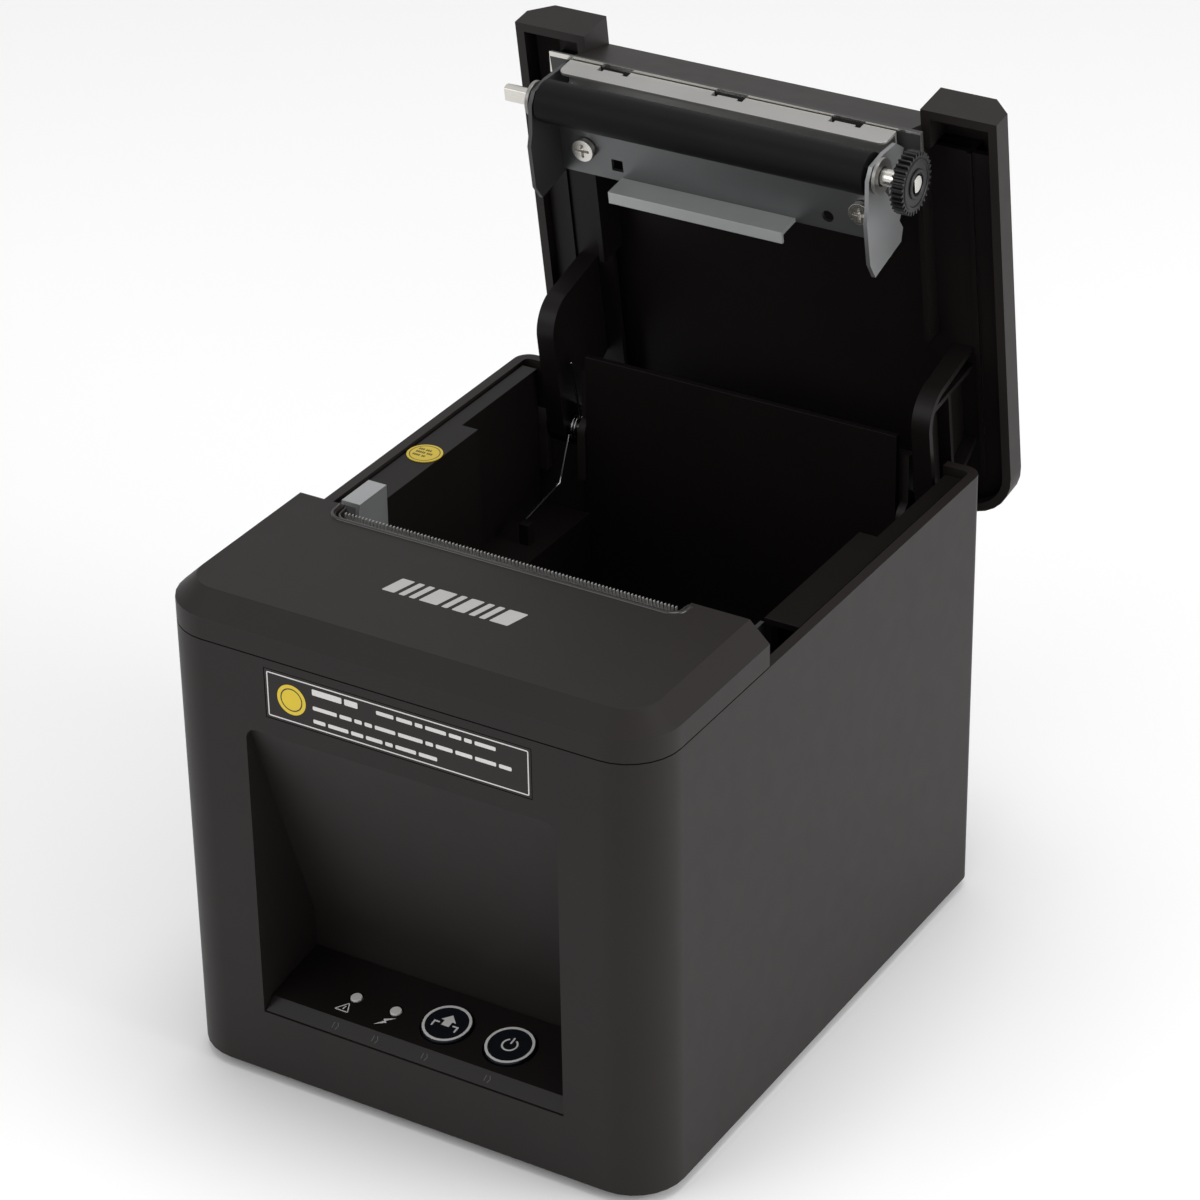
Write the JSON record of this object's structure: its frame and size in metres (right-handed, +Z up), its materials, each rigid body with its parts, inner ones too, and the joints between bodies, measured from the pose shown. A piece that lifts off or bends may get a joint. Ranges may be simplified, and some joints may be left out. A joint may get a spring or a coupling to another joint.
{
  "type": "receipt printer",
  "caption": "Clamshell thermal receipt printer with its lid open on a platen roller, paper bay, tear bar and a recessed control panel.",
  "frame": {"origin": "centre of the footprint of the open printer, on the surface it stands on", "axes": "+Z up, +X to the right seen from the front, +Y towards the back; the front face looks along -Y"},
  "size_m": [0.125, 0.1778, 0.2004],
  "materials": {
    "charcoal_plastic": "fine moulded texture, satin",
    "inner_plastic": "smooth black moulding",
    "panel_plastic": "satin black",
    "button_gloss": "polished black",
    "light_lens": "milky light pipe",
    "label_film": "printed film",
    "sticker_film": "printed film",
    "sheet_steel": "zinc plated",
    "bright_steel": "ground",
    "spring_steel": "bright drawn wire",
    "aluminium_sink": "extruded",
    "head_ceramic": "glazed ceramic",
    "roller_rubber": "ground black rubber",
    "foot_rubber": "matte",
    "black_gear": "moulded acetal",
    "white_gear": "moulded acetal",
    "brass_gear": "cut brass",
    "motor_case": "plated can",
    "circuit_board": "solder mask",
    "black_socket": "moulded",
    "dark_screw": "blackened steel",
    "white_bush": "moulded acetal"
  },
  "bodies": {
    "housing": {"main_housing": "charcoal_plastic", "bottom_cover": "inner_plastic", "control_panel": "panel_plastic", "instruction_label": "label_film", "paper_bay": "inner_plastic", "inspection_sticker": "sticker_film", "left_side_plate": "sheet_steel", "right_side_plate": "sheet_steel", "mechanism_frame": "sheet_steel", "head_pivot": "bright_steel", "head_spring_left": "spring_steel", "head_spring_right": "spring_steel", "feed_motor": "motor_case", "cutter_frame": "sheet_steel", "cutter_motor": "motor_case", "main_board": "circuit_board", "lid_spring": "spring_steel", "hinge_pin_left": "bright_steel", "hinge_pin_right": "bright_steel", "error_light": "light_lens", "power_light": "light_lens", "button_board": "circuit_board", "dc_jack": "black_socket", "drawer_port": "black_socket", "usb_port": "sheet_steel", "lan_port": "sheet_steel", "rubber_foot_front_left": "foot_rubber", "base_screw_front_left": "dark_screw", "rubber_foot_rear_left": "foot_rubber", "base_screw_rear_left": "dark_screw", "rubber_foot_front_right": "foot_rubber", "base_screw_front_right": "dark_screw", "rubber_foot_rear_right": "foot_rubber", "base_screw_rear_right": "dark_screw"},
    "lid": {"lid_outer": "charcoal_plastic", "lid_inner": "inner_plastic", "platen_bracket": "sheet_steel", "platen_bush_left": "white_bush", "platen_bush_right": "white_bush", "fixed_blade": "bright_steel", "blade_plate": "sheet_steel", "bracket_screw_left": "bright_steel", "bracket_screw_right": "bright_steel"},
    "platen": {"platen_shaft": "bright_steel", "platen_roller": "roller_rubber", "platen_gear": "black_gear"},
    "front_cover": {"front_cover": "charcoal_plastic", "tear_bar": "bright_steel"},
    "thermal_head": {"print_head": "aluminium_sink", "head_glass": "head_ceramic"},
    "feed_drive_gear": {"feed_drive_gear": "white_gear"},
    "feed_idler_gear": {"feed_idler_gear": "white_gear"},
    "feed_motor_pinion": {"feed_motor_pinion": "brass_gear"},
    "cutter_blade": {"moving_blade": "bright_steel"},
    "cutter_reset_gear": {"cutter_reset_gear": "white_gear"},
    "cutter_motor_pinion": {"cutter_motor_pinion": "brass_gear"},
    "feed_button": {"feed_button": "button_gloss"},
    "power_button": {"power_button": "button_gloss"}
  },
  "joints": [
    {"name": "lid_hinge", "type": "hinge", "parent": "housing", "child": "lid", "pos_m": [0, 0.06212, 0.097], "axis": [1, 0, 0], "range_deg": [0, 81.5], "stiffness_Nm_per_rad": 0.06, "springref_deg": -45.84, "deforming": ["lid_spring"]},
    {"name": "platen_spin", "type": "hinge", "parent": "lid", "child": "platen", "pos_m": [0, 0.04334, 0.19085], "axis": [1, 0, 0], "continuous": true},
    {"name": "front_cover_lift", "type": "slide", "parent": "housing", "child": "front_cover", "axis": [0, 0, 1], "range_m": [0, 0.025]},
    {"name": "head_tilt", "type": "hinge", "parent": "housing", "child": "thermal_head", "pos_m": [0, -0.04198, 0.074], "axis": [1, 0, 0], "range_deg": [0, 1.5], "stiffness_Nm_per_rad": 4, "springref_deg": -2.86, "deforming": ["head_spring_left", "head_spring_right"]},
    {"name": "idler_spin", "type": "hinge", "parent": "housing", "child": "feed_idler_gear", "pos_m": [0.0518, -0.03683, 0.06776], "axis": [1, 0, 0], "continuous": true},
    {"name": "drive_gear_spin", "type": "hinge", "parent": "housing", "child": "feed_drive_gear", "pos_m": [0.0518, -0.03348, 0.08024], "axis": [1, 0, 0], "continuous": true},
    {"name": "feed_pinion_spin", "type": "hinge", "parent": "housing", "child": "feed_motor_pinion", "pos_m": [0.0518, -0.03951, 0.05776], "axis": [1, 0, 0], "continuous": true},
    {"name": "cutter_stroke", "type": "slide", "parent": "housing", "child": "cutter_blade", "axis": [0, 1, 0], "range_m": [0, 0.007]},
    {"name": "reset_gear_spin", "type": "hinge", "parent": "housing", "child": "cutter_reset_gear", "pos_m": [-0.054, -0.06288, 0.10118], "axis": [-1, 0, 0], "range_deg": [0, 101]},
    {"name": "cutter_pinion_spin", "type": "hinge", "parent": "housing", "child": "cutter_motor_pinion", "pos_m": [-0.054, -0.07521, 0.09669], "axis": [-1, 0, 0], "range_deg": [-335, 0]},
    {"name": "feed_button_press", "type": "slide", "parent": "housing", "child": "feed_button", "axis": [0, 0.1564, -0.9877], "range_m": [0, 0.0006], "stiffness_N_per_m": 400, "springref_m": -0.002},
    {"name": "power_button_press", "type": "slide", "parent": "housing", "child": "power_button", "axis": [0, 0.1564, -0.9877], "range_m": [0, 0.0006], "stiffness_N_per_m": 400, "springref_m": -0.002}
  ],
  "couplings": [
    {"joint": "drive_gear_spin", "follows": "idler_spin", "ratio": -1.5},
    {"joint": "feed_pinion_spin", "follows": "idler_spin", "ratio": -3},
    {"joint": "reset_gear_spin", "follows": "cutter_stroke", "rad_per_m": 250},
    {"joint": "cutter_pinion_spin", "follows": "cutter_stroke", "rad_per_m": -833.33}
  ]
}
